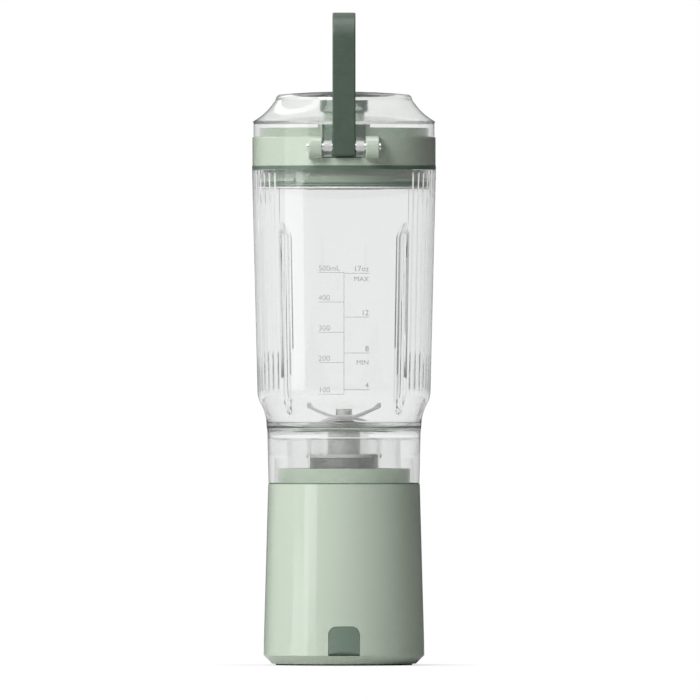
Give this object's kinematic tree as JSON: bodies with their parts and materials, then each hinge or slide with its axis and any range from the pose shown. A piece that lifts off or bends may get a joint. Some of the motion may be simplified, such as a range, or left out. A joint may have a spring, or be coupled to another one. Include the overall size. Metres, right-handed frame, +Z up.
{
  "type": "portable blender",
  "caption": "Cordless rechargeable blender: tapered base, clear fluted jar with blades, screw lid with clear flip dome, spout and strap carry handle.",
  "frame": {"origin": "middle of the foot, on the surface it stands on", "axes": "+Z up along the jar, -Y the side with the charging flap, lid hinge and scale, +Y the power button"},
  "size_m": [0.098, 0.113, 0.3473],
  "materials": {
    "sage_gloss": "glossy pale sage green plastic",
    "deep_green": "satin dark green plastic",
    "green_silicone": "dark green silicone",
    "clear_plastic": "clear copolyester plastic",
    "stainless": "brushed stainless steel",
    "pin_chrome": "polished steel",
    "white_silicone": "translucent white silicone",
    "black_rubber": "dark rubber",
    "black_plastic": "black moulded plastic",
    "white_plastic": "translucent white light guide",
    "zinc_steel": "zinc plated steel",
    "magnet_dark": "ferrite magnet",
    "armature_copper": "wound copper on iron",
    "cell_wrap": "shrink wrapped battery cell",
    "nickel": "nickel strip",
    "board_green": "circuit board"
  },
  "bodies": {
    "base": {"base_housing": "sage_gloss", "base_cover": "sage_gloss", "cover_screws": "zinc_steel", "foot_ring": "black_rubber", "battery_tray": "black_plastic", "battery_cell_rear": "cell_wrap", "battery_cell_front": "cell_wrap", "cell_strips": "nickel", "cell_clamp": "black_plastic", "charge_board": "board_green", "charge_socket": "zinc_steel", "main_board": "board_green", "power_switch": "black_plastic", "light_ring": "white_plastic", "motor_can": "zinc_steel", "motor_magnets": "magnet_dark", "motor_end_cap": "black_plastic", "motor_bearings": "zinc_steel", "motor_screws": "zinc_steel", "base_deck": "sage_gloss", "shaft_seal": "black_rubber"},
    "rotor": {"motor_shaft": "zinc_steel", "motor_armature": "armature_copper", "drive_coupler": "black_plastic"},
    "charging_flap": {"charge_flap": "green_silicone"},
    "button": {"power_button": "deep_green"},
    "jar_seat": {"jar_foot_ring": "green_silicone"},
    "jar": {"jar_vessel": "clear_plastic", "bearing_housing": "stainless", "lock_nut": "stainless", "hub_gasket": "white_silicone", "blade_bearings": "zinc_steel"},
    "blades": {"blade_shaft": "stainless", "blade_coupler": "black_plastic", "cap_nut": "stainless", "lower_blade": "stainless", "upper_blade": "stainless"},
    "lid_seat": {"lid_gasket": "green_silicone"},
    "lid": {"lid_body": "sage_gloss", "hinge_pin": "pin_chrome"},
    "dome": {"dome_cover": "clear_plastic", "spout_seal": "green_silicone"},
    "handle": {"carry_handle": "deep_green"}
  },
  "joints": [
    {"name": "motor_spin", "type": "hinge", "parent": "base", "child": "rotor", "pos_m": [0, 0, 0.06], "axis": [0, 0, 1], "continuous": true},
    {"name": "flap_hinge", "type": "hinge", "parent": "base", "child": "charging_flap", "pos_m": [0, -0.04019, 0.00825], "axis": [1, 0, 0], "range_deg": [0, 90]},
    {"name": "button_press", "type": "slide", "parent": "base", "child": "button", "axis": [0, -1, 0], "range_m": [0, 0.0008], "stiffness_N_per_m": 1200, "springref_m": -0.0008},
    {"name": "jar_lift", "type": "slide", "parent": "base", "child": "jar_seat", "axis": [0, 0, 1], "range_m": [0, 0.06]},
    {"name": "jar_twist", "type": "hinge", "parent": "jar_seat", "child": "jar", "pos_m": [0, 0, 0.1], "axis": [0, 0, 1], "range_deg": [0, 35]},
    {"name": "blade_spin", "type": "hinge", "parent": "jar_seat", "child": "blades", "pos_m": [0, 0, 0.13], "axis": [0, 0, 1], "continuous": true},
    {"name": "lid_lift", "type": "slide", "parent": "jar", "child": "lid_seat", "axis": [0, 0, 1], "range_m": [0, 0.06]},
    {"name": "lid_twist", "type": "hinge", "parent": "lid_seat", "child": "lid", "pos_m": [0, 0, 0.266], "axis": [0, 0, 1], "range_deg": [0, 45]},
    {"name": "dome_hinge", "type": "hinge", "parent": "lid", "child": "dome", "pos_m": [0, -0.0505, 0.2759], "axis": [1, 0, 0], "range_deg": [0, 90]},
    {"name": "handle_swing", "type": "hinge", "parent": "dome", "child": "handle", "pos_m": [0, -0.0505, 0.2759], "axis": [1, 0, 0], "range_deg": [0, 60]}
  ],
  "couplings": [
    {"joint": "blade_spin", "follows": "motor_spin", "ratio": 1}
  ]
}
